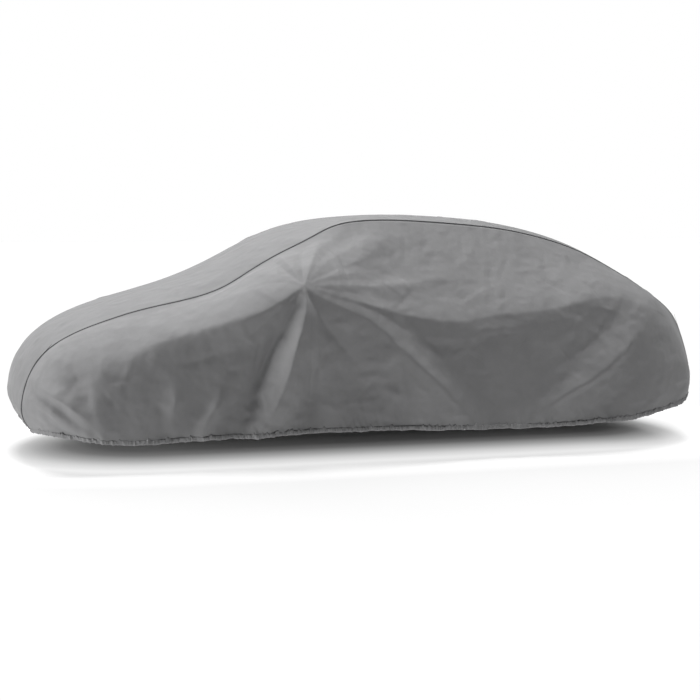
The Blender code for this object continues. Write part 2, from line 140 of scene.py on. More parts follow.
# Folds of a side panel: their line as (station, height), how far the cloth stands out along it, and
# how far each flank runs to the left and right of the line as it is followed.
Fold = namedtuple("Fold", "name line rises left right")
FOLDS = (
    Fold("ridge under the mirror",
         ((1606, 970), (1546, 760), (1503, 570), (1418, 340), (1335, 200)),
         (0, 42, 63, 58, 24), 170, 120),
    Fold("valley before that ridge",
         ((1575, 960), (1469, 799), (1382, 618), (1328, 477), (1262, 254)),
         (0, -34, -42, -24, -6), 90, 200),
    Fold("shoulder line of the wing",
         ((1580, 990), (1470, 930), (1310, 865), (1060, 795), (770, 722), (640, 660), (600, 540)),
         (0, 42, 54, 48, 42, 27, 6), 140, 200),
    Fold("shoulder line of the doors",
         ((1660, 985), (1880, 930), (2200, 868), (2570, 822), (2850, 858), (3100, 870), (3400, 925),
          (3670, 930), (3830, 880)),
         (0, 30, 37, 32, 27, 27, 30, 28, 10), 220, 160),
    Fold("ridge from the shoulder to the hem",
         ((1780, 950), (1960, 850), (2200, 655), (2410, 475), (2580, 300), (2720, 190)),
         (0, 32, 58, 56, 42, 18), 150, 320),
    Fold("ridge from the tail to the hem",
         ((3830, 820), (3660, 650), (3450, 490), (3240, 380), (3080, 270), (2920, 195)),
         (12, 36, 46, 40, 30, 14), 200, 170),
    Fold("upper ridge of the front corner",
         ((80, 512), (160, 482), (260, 430), (370, 345), (450, 250)), (9, 24, 34, 28, 12), 130, 70),
    Fold("lower ridge of the front corner",
         ((100, 435), (170, 400), (260, 335), (390, 245)), (10, 22, 26, 12), 60, 70),
    Fold("dent at the front corner", ((320, 650), (330, 560), (380, 430)), (-6, -20, -6), 90, 90),
    Fold("ridge before the arch",
         ((440, 750), (460, 600), (480, 430), (490, 270)), (4, 14, 14, 10), 120, 150),
    Fold("pleat over the arch", ((860, 560), (860, 430), (850, 300)), (3, 17, 7), 90, 80),
    Fold("pleat behind the arch", ((1150, 510), (1090, 390), (1020, 260)), (3, 24, 14), 80, 80),
    Fold("hollow under the door", ((1660, 580), (1665, 440), (1655, 280)), (-3, -18, -10), 90, 80),
    Fold("forward streak to the seam",
         ((1590, 1030), (1572, 1100), (1545, 1180)), (0, 16, 10), 50, 130),
    Fold("upward streak to the seam",
         ((1615, 1030), (1690, 1150), (1800, 1300)), (0, 22, 14), 60, 150),
    Fold("ridge to the roof",
         ((1660, 1000), (1800, 1085), (1970, 1165), (2130, 1255), (2280, 1350)),
         (0, 26, 29, 22, 6), 120, 140),
    Fold("ridge over the windows",
         ((1700, 995), (2000, 1015), (2400, 1060), (2800, 1060)), (0, 18, 10, 3), 90, 100),
    Fold("ridge over the wing",
         ((1560, 1010), (1400, 990), (1230, 955), (1050, 900)), (0, 13, 10, 3), 80, 80),
)
CREST_ROUND = 0.007       # radius of a fold's crest
FOOT_ROUND = 0.22         # how softly a fold's flank ends: 0 for a sharp bend
FOLD_STEPS = 8            # straight steps for each point of its line
SEAM_STIFFNESS = 0.12     # share of the way down over which the seam keeps the cloth flat
END_STIFFNESS = 0.014     # share of the way along, from the nose and the tail seam

# The creases that spread from the mirror pocket like the ribs of a fan, in order from rearwards
# over upwards. Each has points of distance from the tip, degrees and rise. At every distance the
# degrees rise from one rib to the next.
FAN = (
    ("crest over the windows", ((100, 2, 1), (200, 1, 3), (400, 1, 4), (800, 0, 0))),
    ("valley over the windows", ((100, 13, -2), (200, 8, -2), (400, 6, -2), (800, 4, 0))),
    ("crest to the rear window",
     ((100, 20, -1), (200, 15, 1), (400, 12, 3), (640, 11, 3), (850, 10, 0))),
    ("valley under the roof ridge",
     ((70, 28, -2), (150, 24, -4), (320, 20, -8), (500, 20, -6), (750, 19, 0))),
    ("roof ridge", ((70, 41, 1), (180, 38, 4), (400, 33, 8), (640, 32, 8), (850, 31, 0))),
    ("valley over the roof ridge", ((100, 49, 2), (200, 45, 3), (350, 42, 3), (500, 42, 0))),
    ("upward streak", ((50, 62, 4), (120, 58, 6), (200, 55, 7), (300, 53, 6), (450, 52, 0))),
    ("valley before that streak",
     ((50, 84, -3), (120, 78, -5), (200, 72, -6), (300, 68, -4), (450, 66, 0))),
    ("forward streak", ((50, 112, 3), (120, 109, 5), (200, 106, 4), (280, 104, 0))),
    ("valley before the forward streak",
     ((50, 131, -4), (120, 124, -7), (200, 120, -6), (280, 118, 0))),
    ("flat over the wing", ((100, 152, 3), (240, 165, 3), (400, 172, 0))),
    ("faint valley over the wing", ((90, 170, -3), (240, 183, -4), (400, 187, -3), (650, 188, 0))),
    ("crest of the wing",
     ((60, 209, 6), (130, 210, 10), (250, 209, 12), (400, 207, 10), (600, 204, 7), (850, 201, 0))),
    ("valley under the wing",
     ((60, 214, 0), (130, 216, -2), (250, 217, -4), (450, 218, -3), (650, 219, 0))),
    ("crest before the dark band",
     ((60, 219, -2), (130, 223, -1), (240, 225, 2), (350, 227, 6), (500, 230, 6), (700, 233, 0))),
    ("valley before the door ridge",
     ((60, 226, -7), (140, 236, -15), (250, 239, -18), (450, 241, -16), (600, 243, -12),
      (850, 246, 0))),
    ("door ridge",
     ((50, 271, 8), (80, 268, 14), (140, 263, 18), (260, 258, 18), (450, 257, 15), (700, 255, 11),
      (850, 252, 0))),
    ("edge of the dark strip",
     ((50, 278, 5), (140, 275, 10), (300, 270, 10), (420, 266, 6), (620, 264, 4), (850, 261, 0))),
    ("dark strip", ((50, 282, 1), (300, 276, 1), (420, 276, -12), (620, 275, -18), (850, 273, 0))),
    ("edge behind the dark strip",
     ((50, 287, -4), (300, 284, 1), (420, 282, 1), (620, 280, 1), (850, 278, 0))),
    ("valley of the dark wedge",
     ((60, 292, -8), (110, 298, -13), (200, 302, -18), (300, 305, -20), (500, 308, -18),
      (750, 310, -8), (950, 311, 0))),
    ("crest of the dark wedge",
     ((60, 327, 5), (130, 331, 11), (250, 335, 14), (400, 335, 14), (600, 331, 11), (900, 327, 6),
      (1150, 325, 0))),
    ("valley beyond the light band",
     ((60, 338, 4), (130, 341, 5), (270, 343, 2), (450, 343, -4), (600, 340, -6), (850, 338, 0))),
    ("crest of the shoulder",
     ((60, 350, 2), (130, 347, 4), (300, 346, 6), (600, 346, 4), (1000, 347, 0))),
    ("valley over the shoulder",
     ((60, 356, 0), (130, 354, -1), (300, 353, -2), (600, 352, -1), (800, 351, 0))),
)
FAN_FLAT = 0.006          # distance from the tip within which the fan has not begun

# Narrow creases on and between the folds, with the columns of a Fold.
CREASES = (
    Fold("crisp shoulder of the wing",
         ((1580, 1000), (1490, 945), (1380, 895), (1240, 850), (1100, 815), (900, 765)),
         (0, 12, 10, 7, 5, 1), 50, 100),
    Fold("crisp shoulder of the doors",
         ((2200, 862), (2570, 822), (2850, 858), (3100, 870), (3400, 925), (3670, 930)),
         (1, 3, 3, 3, 3, 1), 80, 70),
    Fold("line under the shoulder", ((2160, 775), (2480, 735), (2800, 760)), (1, 6, 1), 50, 30),
    Fold("second line under the shoulder",
         ((2450, 800), (2750, 775), (3050, 800), (3250, 830)), (1, 5, 5, 1), 50, 30),
    Fold("crisp ridge to the hem",
         ((2200, 655), (2410, 475), (2580, 300), (2700, 200)), (2, 8, 8, 3), 120, 160),
    Fold("far edge of that ridge's light side",
         ((2330, 680), (2500, 520), (2650, 330), (2790, 210)), (-1, -4, -4, -1), 60, 80),
    Fold("crisp ridge from the tail",
         ((3780, 790), (3640, 655), (3450, 500), (3240, 385), (3080, 285)),
         (2, 12, 14, 12, 4), 50, 160),
    Fold("second ridge from the tail",
         ((3360, 560), (3230, 470), (3060, 360), (2930, 240)), (-1, -8, -9, -2), 100, 50),
    Fold("crisp upper ridge of the front corner",
         ((120, 492), (200, 462), (300, 400), (400, 300)), (5, 14, 14, 3), 60, 40),
    Fold("dark fold under the upper ridge",
         ((85, 470), (160, 430), (250, 370), (340, 285)), (-12, -24, -18, -3), 50, 50),
    Fold("crisp lower ridge of the front corner",
         ((130, 410), (200, 365), (300, 290)), (3, 10, 3), 30, 30),
    Fold("third ridge of the front corner",
         ((240, 300), (320, 262), (420, 210)), (1, 9, 4), 30, 30),
    Fold("pucker at the nose seam", ((105, 340), (150, 320), (190, 270)), (3, 9, 2), 30, 30),
    Fold("crease over the front corner", ((190, 600), (260, 565), (330, 505)), (2, 8, 2), 40, 50),
    Fold("upright ridge of the front corner",
         ((400, 600), (420, 480), (440, 340), (470, 230)), (1, 9, 9, 3), 50, 40),
    Fold("crisp pleat behind the arch",
         ((1150, 480), (1100, 380), (1040, 270), (1020, 190)), (1, 20, 18, 5), 50, 50),
    Fold("pleat between the arch and the door",
         ((1215, 420), (1190, 320), (1180, 220)), (1, -9, -6), 50, 40),
    Fold("crisp pleat over the arch", ((880, 520), (870, 400), (855, 280)), (1, 11, 5), 40, 40),
    Fold("crumple on the door ridge", ((1275, 400), (1345, 445), (1430, 500)), (1, 16, 1), 45, 50),
    Fold("second crumple on the door ridge",
         ((1262, 330), (1320, 345), (1405, 405)), (1, 16, 1), 45, 50),
    Fold("third crumple on the door ridge",
         ((1245, 255), (1310, 280), (1375, 335)), (1, 14, 1), 30, 40),
    Fold("crumple behind the dark strip",
         ((1930, 500), (2030, 522), (2140, 515)), (1, 13, 1), 30, 50),
    Fold("second crumple behind it", ((1920, 595), (1990, 606), (2070, 606)), (1, 4, 1), 20, 30),
    Fold("third crumple behind it", ((2020, 460), (2130, 430), (2230, 360)), (1, 11, 1), 40, 40),
    Fold("crumple at the rear door", ((2640, 640), (2600, 560), (2620, 480)), (1, 4, 1), 30, 30),
    Fold("second crumple at the rear door",
         ((2560, 560), (2700, 545), (2840, 570)), (1, 3, 1), 30, 30),
    Fold("fold at the rear hem", ((3450, 300), (3520, 250), (3560, 195)), (1, 5, 3), 30, 40),
)

# Small crumples strewn over a panel by a seeded draw. Pairs are the least and the most.
CRUMPLES = 560            # on a side panel
CENTRE_CRUMPLES = 280
CENTRE_SEED = 5
CENTRE_STIFFNESS = 0.15   # share of the centre panel's half width over which they fade to its seam
CRUMPLE_LENGTH = (0.030, 0.130)   # half of it
CRUMPLE_WIDTH = (0.013, 0.034)    # of the narrow flank
CRUMPLE_RISE = 0.0056

# The elastic draws the hem into shallow waves, crowded and spread by a slow swing along the hem.
HEM_WAVES = 15
HEM_WAVE_RISE = 0.005
HEM_WAVE_REACH = 0.14     # share of the way up from the hem
HEM_SWINGS = 4
HEM_SWING = 1.3           # radians by which it moves the waves
GATHERS = 170             # short gathers above the hem, along one side
GATHER_REACH = (0.03, 0.11)
GATHER_WIDTH = (0.010, 0.026)
GATHER_LEAN = 0.5         # most, to either side, for each unit upwards
GATHER_RISE = 0.0052
GATHER_SHARE = (0.4, 1.3)         # of that rise

# The hem's casing: a narrow band with the elastic inside, puckered all along.
CASING_HEIGHT = 0.028
CASING_BULGE = 0.0038
CASING_STEP = 0.0032      # length of its cells
CASING_SIDES = 14
CASING_DROP = 0.002       # from the cloth's edge down to the casing's
CASING_SWAY = 0.0025      # up and down, most
CASING_SWAY_CELLS = 12    # from one turn of the sway to the next
CASING_SEED = 100         # more than the seed of the side
CASING_UP = 3             # cells above the edge that give the way up the cloth
PUCKER = 0.017            # usual distance from one pucker to the next
PUCKER_RISE = 0.0115
PUCKER_DROP = 0.0012      # of the lower edge
PUCKER_WIDTH = (0.3, 0.8)         # shares of the usual distance
PUCKER_SHARE = (0.3, 1.0)         # of the rise
TUFT_GAP = 0.060          # usual distance from one tuft of the casing's upper edge to the next
TUFT_RISE = 0.018
SAME_PLACE = 0.00001      # distance at which two points are one
CasingEnd = namedtuple("CasingEnd", "name edge_row above_row seed")
CASING_ENDS = (CasingEnd("nose", 0, 4, 71), CasingEnd("tail", -1, -5, 73))

# The right side hangs a little slacker, and its folds lie further back.
Hang = namedtuple("Hang", "name side slackness shift_back seed")
LEFT = Hang("left", -1, 1.00, 0.000, 11)
RIGHT = Hang("right", 1, 0.85, 0.035, 29)


# ---------------------------------------------------------------- curves and surfaces

def smooth_curve(knots, values):
    """Returns the natural cubic spline through the values at the rising knots."""
    knots = np.asarray(knots, dtype=float)
    values = np.asarray(values, dtype=float)
    steps = np.diff(knots)
    system = np.eye(len(knots))
    bends = np.zeros_like(values)
    for row in range(1, len(knots) - 1):
        before, after = steps[row - 1], steps[row]
        system[row, row - 1:row + 2] = before, 2 * (before + after), after
        rise = (values[row + 1] - values[row]) / after
        bends[row] = 6 * (rise - (values[row] - values[row - 1]) / before)
    bends = np.linalg.solve(system, bends)

    def curve(places):
        places = np.clip(places, knots[0], knots[-1])
        span = np.clip(np.searchsorted(knots, places, side="right") - 1, 0, len(steps) - 1)
        step = steps[span][..., None]
        back = (places - knots[span])[..., None]
        ahead = step - back
        chord = (ahead * values[span] + back * values[span + 1]) / step
        sag_behind = bends[span] * ahead * (ahead * ahead - step * step)
        sag_ahead = bends[span + 1] * back * (back * back - step * step)
        return chord + (sag_behind + sag_ahead) / (6 * step)

    return curve


def unit(vectors):
    return vectors / np.linalg.norm(vectors, axis=-1, keepdims=True)


def clamp(values):
    return np.clip(values, 0.0, 1.0)


def path_lengths(points):
    """The way along a line of points to each of them, from the first."""
    steps = np.linalg.norm(np.diff(points, axis=0), axis=1)
    return np.concatenate([[0.0], np.cumsum(steps)])


def metres(lengths):
    """The lengths from a table in millimetres."""
    return np.array(lengths) / MILLIMETRES


def seam_rows():
    return metres([(row.seam_station, row.seam_half_width, row.seam_height) for row in SECTIONS])


def crown_rows():
    return metres([(row.crown_station, 0, row.crown_height) for row in SECTIONS])


def seam_knots():
    """The sections' places along the seam, from 0 at the nose's hem to 1 at the tail's."""
    along = path_lengths(seam_rows())
    return along / along[-1]


def knot_of(section_name):
    names = [row.name for row in SECTIONS]
    return seam_knots()[names.index(section_name)]


def crowded(cells, focus, width):
    """The shares from 0 to 1 at which cells meet, closer together about the focus."""
    shares = np.linspace(0.0, 1.0, CROWD_SAMPLES)
    total = np.cumsum(1 + CROWDING * np.exp(-((shares - focus) / width) ** 2))
    return np.interp(np.linspace(total[0], total[-1], cells + 1), total, shares)


def lengthwise_shares():
    nose, tail = knot_of(NOSE_CORNER), knot_of(TAIL_CORNER)
    mirror = (knot_of("screen middle") - nose) / (tail - nose)
    return crowded(LENGTHWISE_CELLS, mirror, CROWD_ALONG)


def downward_shares():
    return crowded(DOWNWARD_CELLS, MIRROR_AT, CROWD_DOWN)


def seam_places():
    """Where the panels' cells meet the seam: up the nose, along the top and down the tail."""
    nose = knot_of(NOSE_CORNER)
    tail = knot_of(TAIL_CORNER)
    up = nose * (1 - downward_shares()[::-1])
    over = nose + (tail - nose) * lengthwise_shares()
    down = tail + (1 - tail) * downward_shares()
    return np.concatenate([up[:-1], over, down[1:]])


def centre_surface():
    """The centre panel's right half as a grid: rows along the seam, columns from middle to seam."""
    places = seam_places()
    seam = smooth_curve(seam_knots(), seam_rows())(places)[:, None]
    crown = smooth_curve(seam_knots(), crown_rows())(places)[:, None]
    share = np.linspace(0.0, 1.0, CROSSWISE_CELLS // 2 + 1)[None, :, None]
    surface = crown + (seam - crown) * share ** CROWN_POWER
    surface[..., 1] = (seam * share)[..., 1]
    return surface


def rib_grid(lengthwise, downward):
    """The side panel from its ribs alone, before its short edges are drawn to the seam."""
    seam = smooth_curve(seam_knots(), seam_rows())
    nose = knot_of(NOSE_CORNER)
    tail = knot_of(TAIL_CORNER)
    shares = [0.0] + [(knot_of(rib.section) - nose) / (tail - nose) for rib in RIBS] + [1.0]
    levels = (0.0, SHOULDER_AT, WAIST_AT, 1.0)
    front = seam(nose * (1 - np.array(levels)))
    back = seam(tail + (1 - tail) * np.array(levels))
    rails = [seam(nose + (tail - nose) * lengthwise)]
    for index, part in enumerate(("shoulder", "waist", "hem"), start=1):
        points = [front[index], *(metres(getattr(rib, part)) for rib in RIBS), back[index]]
        rails.append(smooth_curve(shares, points)(lengthwise))
    rails = np.stack(rails)
    flat = rails.reshape(len(levels), -1)
    grid = smooth_curve(levels, flat)(downward)
    return grid.reshape(len(downward), len(lengthwise), 3).transpose(1, 0, 2)


def side_surface():
    """A side panel without its folds: rows from nose to tail, columns from the seam to the hem."""
    lengthwise = lengthwise_shares()
    downward = downward_shares()
    surface = rib_grid(lengthwise, downward)
    seam = smooth_curve(seam_knots(), seam_rows())
    nose = seam(knot_of(NOSE_CORNER) * (1 - downward))
    tail = seam(knot_of(TAIL_CORNER) + (1 - knot_of(TAIL_CORNER)) * downward)
    near_nose = clamp(1 - lengthwise / CORNER_REACH)[:, None, None] ** 2
    near_tail = clamp(1 - (1 - lengthwise) / CORNER_REACH)[:, None, None] ** 2
    to_nose = nose - surface[0]
    to_tail = tail - surface[-1]
    return surface + near_nose * to_nose[None] + near_tail * to_tail[None]


def face_directions(surface):
    """The outward unit normals of a grid on the right side."""
    along = np.gradient(surface, axis=0)
    across = np.gradient(surface, axis=1)
    return unit(np.cross(along, across))


# ---------------------------------------------------------------- folds and crumples

def crest(distance, spread):
    """A soft ridge: 1 on its line, with straight flanks that end flat at the spread."""
    rounded = np.sqrt(distance ** 2 + CREST_ROUND ** 2) - CREST_ROUND
    rest = 1 - clamp(rounded / spread)
    return rest ** 2 * (1 + FOOT_ROUND) / (rest + FOOT_ROUND)


def fold_rise(fold, stations, heights):
    """How far one fold lifts the cloth at each station and height."""
    line = metres(fold.line)
    left, right = metres((fold.left, fold.right))
    knots = path_lengths(line)
    steps = np.linspace(0.0, knots[-1], FOLD_STEPS * len(line))
    points = smooth_curve(knots, line)(steps)
    rises = np.interp(steps, np.linspace(0.0, knots[-1], len(fold.rises)), metres(fold.rises))
    nearest = np.full(stations.shape, np.inf)
    result = np.zeros(stations.shape)
    for start, end, rise_start, rise_end in zip(points[:-1], points[1:], rises[:-1], rises[1:]):
        run = end - start
        from_start = stations - start[0], heights - start[1]
        share = clamp((from_start[0] * run[0] + from_start[1] * run[1]) / run.dot(run))
        off = from_start[0] - share * run[0], from_start[1] - share * run[1]
        distance = np.hypot(*off)
        is_left = run[0] * off[1] - run[1] * off[0] > 0
        rise = crest(distance, np.where(is_left, left, right))
        rise = rise * (rise_start + share * (rise_end - rise_start))
        result = np.where(distance < nearest, rise, result)
        nearest = np.minimum(nearest, distance)
    return result


def from_mirror(stations, heights):
    """The distance and the degrees from the mirror pocket's tip."""
    along = stations - MIRROR[0]
    up = heights - MIRROR[1]
    return np.hypot(along, up), np.degrees(np.arctan2(up, along)) % 360


def mirror_rise(stations, heights):
    """How far the mirror pocket holds the cloth out."""
    distance, degrees = from_mirror(stations, heights)
    knots, distances = np.transpose(MIRROR_REACHES)
    reach = smooth_curve(knots, distances[:, None])(degrees)[..., 0]
    rounded = np.sqrt(distance ** 2 + MIRROR_ROUND ** 2) - MIRROR_ROUND
    share = clamp(rounded / reach)
    return MIRROR_RISE * (1 - share) ** MIRROR_HOLLOW


def fan_rise(stations, heights):
    """How far the fan's flat faces, between its creases, stand out at each station and height."""
    distance, degrees = from_mirror(stations, heights)
    lines = []
    for _, points in FAN:
        distances, angles, rises = np.transpose(points)
        distances = np.concatenate([[FAN_FLAT], metres(distances)])
        angle = np.interp(distance, distances, np.concatenate([angles[:1], angles]))
        rise = np.interp(distance, distances, np.concatenate([[0.0], metres(rises)]))
        lines.append((angle, rise))
    result = np.zeros(stations.shape)
    for index, (angle, rise) in enumerate(lines):
        next_angle, next_rise = lines[(index + 1) % len(lines)]
        span = (next_angle - angle) % 360
        into = (degrees - angle) % 360
        share = clamp(into / span)
        result = np.where(into < span, rise + (next_rise - rise) * share, result)
    return result


def hem_rise(lengthwise, downward):
    """The waves of the gathered hem, uneven along it and fading upwards."""
    swing = HEM_SWING * np.sin(2 * np.pi * HEM_SWINGS * lengthwise)
    wave = np.sin(2 * np.pi * HEM_WAVES * lengthwise + swing)
    near_hem = clamp((downward - 1 + HEM_WAVE_REACH) / HEM_WAVE_REACH)
    return HEM_WAVE_RISE * wave * near_hem ** 2


def gather_rise(along, above_hem, length, draw):
    """Short upright gathers that the elastic draws in the cloth just above the hem."""
    result = np.zeros(np.broadcast(along, above_hem).shape)
    for _ in range(GATHERS):
        place = draw.uniform(0.0, length)
        reach = draw.uniform(*GATHER_REACH)
        width = draw.uniform(*GATHER_WIDTH)
        lean = draw.uniform(-GATHER_LEAN, GATHER_LEAN)
        rise = GATHER_RISE * draw.uniform(*GATHER_SHARE)
        off = np.abs(along - place - lean * above_hem)
        fade = clamp(1 - above_hem / reach)
        result += rise * clamp(1 - off / width) * fade
    return result


def crumple_rise(across, up, draw, count):
    """Small crumples strewn over a panel, each a short crease with one flank twice as wide."""
    result = np.zeros(across.shape)
    for _ in range(count):
        place = draw.uniform(across.min(), across.max()), draw.uniform(up.min(), up.max())
        turn = draw.uniform(0.0, math.pi)
        half_length = draw.uniform(*CRUMPLE_LENGTH)
        width = draw.uniform(*CRUMPLE_WIDTH)
        rise = CRUMPLE_RISE * draw.uniform(-1.0, 1.0)
        step = across - place[0], up - place[1]
        near = np.hypot(*step) < half_length + width
        along = step[0][near] * math.cos(turn) + step[1][near] * math.sin(turn)
        off = step[1][near] * math.cos(turn) - step[0][near] * math.sin(turn)
        flank = clamp(1 - np.abs(off) / np.where(off > 0, width, 2 * width))
        ends = clamp(1 - (along / half_length) ** 2)
        result[near] += rise * flank * ends
    return result


def folded_side(hang):
    """A side panel with the mirror's tent, its folds and crumples, as if on the right side."""
    surface = side_surface()
    draw = np.random.default_rng(hang.seed)
    lengthwise = lengthwise_shares()[:, None]
    downward = downward_shares()[None, :]
    stations, heights = surface[..., 0], surface[..., 2]
    rise = mirror_rise(stations, heights) + hem_rise(lengthwise, downward)
    for fold in FOLDS + CREASES:
        rise = rise + hang.slackness * fold_rise(fold, stations - hang.shift_back, heights)
    rise = rise + hang.slackness * fan_rise(stations, heights)
    rise = rise + crumple_rise(stations, heights, draw, CRUMPLES)
    above_hem = heights - heights[:, -1:]
    rise = rise + gather_rise(stations, above_hem, stations.max(), draw)
    to_end = np.minimum(lengthwise, 1 - lengthwise)
    loose = clamp(np.minimum(downward / SEAM_STIFFNESS, to_end / END_STIFFNESS))
    rise = rise * loose ** 2 * (3 - 2 * loose)
    return surface + face_directions(surface) * rise[..., None]


# ---------------------------------------------------------------- seams

def seam_cells():
    """The side panel's cells along the seam, from the nose's hem over the top to the tail's hem."""
    up = [(0, column) for column in range(DOWNWARD_CELLS, 0, -1)]
    over = [(row, 0) for row in range(LENGTHWISE_CELLS + 1)]
    down = [(LENGTHWISE_CELLS, column) for column in range(1, DOWNWARD_CELLS + 1)]
    return up + over + down


def inner_neighbour(row, column):
    """The side panel's cell next to one on the seam, one step away from it."""
    at_end = row in (0, LENGTHWISE_CELLS)
    inner_row = min(max(row, 1), LENGTHWISE_CELLS - 1)
    return inner_row, (max(column, 1) if at_end else column + 1)


Flank = namedtuple("Flank", "into up")


def flank_of(points, neighbours, along, turn):
    """The ways into a panel, one unit clear of its seam, and up from it, at each of its points."""
    into = unit(neighbours - points)
    clear = into - (into * along).sum(-1, keepdims=True) * along
    into = into / np.linalg.norm(clear, axis=-1, keepdims=True)
    return Flank(into, unit(np.cross(into, along)) * turn)


Seam = namedtuple("Seam", "points up across centre side")


def seam_of(centre, panel):
    """The seam between the centre panel's half and a side panel, with the flanks beside it."""
    points = centre[:, -1]
    along = unit(np.gradient(points, axis=0))
    neighbours = np.array([panel[inner_neighbour(*cell)] for cell in seam_cells()])
    centre_flank = flank_of(points, centre[:, -2], along, 1)
    side_flank = flank_of(points, neighbours, along, -1)
    up = unit(centre_flank.up + side_flank.up)
    return Seam(points, up, unit(np.cross(up, along)), centre_flank, side_flank)


Draped = namedtuple("Draped", "hang panel seam")


def drape(hang):
    """One side's folded panel, and its seam with the centre panel."""
    panel = folded_side(hang)
    return Draped(hang, panel, seam_of(centre_surface(), panel))


def to_frame(points, side):
    """From stations, half widths and heights to the frame, on the side asked for."""
    placed = points * (1, side, 1)
    return placed - (ROOF_STATION, 0, -GROUND)


# ---------------------------------------------------------------- meshes

def lengths_along(grid, axis):
    """Distances over the cloth from the grid's first row or column, for the weave to follow."""
    steps = np.linalg.norm(np.diff(grid, axis=axis), axis=-1)
    totals = np.cumsum(steps, axis=axis)
    first = np.zeros_like(np.take(totals, [0], axis=axis))
    return np.concatenate([first, totals], axis=axis)


def write_uv(mesh, name):
    """Turns the stored distances over the cloth into the UV map of the same name, in metres."""
    reach = np.zeros(len(mesh.vertices) * 3)
    mesh.attributes[name].data.foreach_get("vector", reach)
    corners = np.zeros(len(mesh.loops), dtype=int)
    mesh.loops.foreach_get("vertex_index", corners)
    flat = reach.reshape(-1, 3)[corners, :2]
    mesh.attributes.remove(mesh.attributes[name])
    layer = mesh.uv_layers.new(name=name)
    layer.data.foreach_set("uv", flat.ravel())


def mesh_of(shell, name, material):
    mesh = bpy.data.meshes.new(name)
    shell.to_mesh(mesh)
    shell.free()
    mesh.materials.append(material)
    return mesh


def add_object(name, data):
    item = bpy.data.objects.new(name, data)
    bpy.context.scene.collection.objects.link(item)
    return item


def finish_mesh(shell, name, material):
    """Makes a smooth object of a closed bmesh."""
    mesh = mesh_of(shell, name, material)
    write_uv(mesh, "cloth")
    mesh.shade_smooth()
    return add_object(name, mesh)


def grid_mesh(points, reach):
    """A bmesh grid on the points, with the distances over the cloth stored on its vertices."""
    rows, columns = points.shape[:2]
    shell = bmesh.new()
    bmesh.ops.create_grid(shell, x_segments=columns - 1, y_segments=rows - 1, size=1.0)
    cloth = shell.verts.layers.float_vector.new("cloth")
    for vertex, place, distances in zip(shell.verts, points.reshape(-1, 3), reach.reshape(-1, 2)):
        vertex.co = place
        vertex[cloth] = (*distances, 0.0)
    return shell


def cloth_piece(name, outer, normals, thickness, material):
    """One closed sheet: its outer face on a grid of points, its inner face a thickness below."""
    reach = np.stack([lengths_along(outer, 0), lengths_along(outer, 1)], axis=-1)
    shell = grid_mesh(outer, reach)
    inward = shell.verts.layers.float_vector.new("inward")
    for vertex, normal in zip(shell.verts, normals.reshape(-1, 3)):
        vertex[inward] = -thickness * normal
    doubled = bmesh.ops.extrude_face_region(shell, geom=shell.faces[:], use_keep_orig=True)
    for item in doubled["geom"]:
        if isinstance(item, bmesh.types.BMVert):
            item.co += item[inward]
    shell.verts.layers.float_vector.remove(inward)
    bmesh.ops.recalc_face_normals(shell, faces=shell.faces[:])
    return finish_mesh(shell, name, material)


def build_side(draped, material):
    """A side panel's sheet, and its outer points and the ways out of them as if on the right side."""
    hang, panel, seam = draped.hang, draped.panel.copy(), draped.seam
    normals = face_directions(panel)
    edge = seam.points + seam.across * SEAM_GAP / 2
    for cell, place, up in zip(seam_cells(), edge, seam.up):
        panel[cell] = place
        normals[cell] = up
    name = "side_panel_" + hang.name + "_cloth"
    outward = normals * (1, hang.side, 1)
    piece = cloth_piece(name, to_frame(panel, hang.side), outward, CLOTH, material)
    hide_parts("side_panel_" + hang.name)
    return piece, panel, normals


def centre_half(draped):
    """The centre panel from its middle to one seam: outer points and the ways up from them."""
    hang, seam = draped.hang, draped.seam
    surface = centre_surface()
    normals = face_directions(surface)
    normals[:, 0] = unit(normals[:, 0] * (1, 0, 1))
    normals[:, -1] = seam.up
    surface[:, -1] = seam.points - seam.across * SEAM_GAP / 2
    return to_frame(surface, hang.side), normals * (1, hang.side, 1)


def build_centre(sides, material):
    """The centre panel's sheet, and its outer points and the ways up from them in the frame."""
    (left, left_normals), (right, right_normals) = [centre_half(draped) for draped in sides]
    outer = np.concatenate([left[:, :0:-1], right], axis=1)
    normals = np.concatenate([left_normals[:, :0:-1], right_normals], axis=1)
    across = outer[..., 1]
    along = lengths_along(outer, 0)[:, CROSSWISE_CELLS // 2, None] + np.zeros_like(across)
    rise = crumple_rise(along, across, np.random.default_rng(CENTRE_SEED), CENTRE_CRUMPLES)
    from_middle = np.abs(np.linspace(-1, 1, outer.shape[1]))
    rise = rise * clamp((1 - from_middle) / CENTRE_STIFFNESS)[None, :]
    outer = outer + normals * rise[..., None]
    piece = cloth_piece("centre_panel_cloth", outer, normals, CLOTH, material)
    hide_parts("centre_panel")
    return piece, outer, normals


def build_binding(draped, material):
    """A tape bent over the seam, its flanks flat on the two panels."""
    hang, seam = draped.hang, draped.seam
    lift = TAPE_LIFT + TAPE
    lean = (seam.up * seam.side.up).sum(-1, keepdims=True)
    rows = []
    ups = []
    for share in reversed(TAPE_COLUMNS):
        sideways = seam.centre.into * TAPE_HALF_WIDTH * share
        rows.append(seam.points + sideways + seam.centre.up * lift)
        ups.append(seam.centre.up)
    rows.append(seam.points + seam.up * lift / lean)
    ups.append(seam.up / lean)
    for share in TAPE_COLUMNS:
        sideways = seam.side.into * TAPE_HALF_WIDTH * share
        rows.append(seam.points + sideways + seam.side.up * lift)
        ups.append(seam.side.up)
    outer = to_frame(np.stack(rows, axis=1), hang.side)
    normals = np.stack(ups, axis=1) * (1, hang.side, 1)
    piece = cloth_piece("seam_binding_" + hang.name + "_tape", outer, normals, TAPE, material)
    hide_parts("seam_binding_" + hang.name)
    return piece


# ---------------------------------------------------------------- the hem's casing

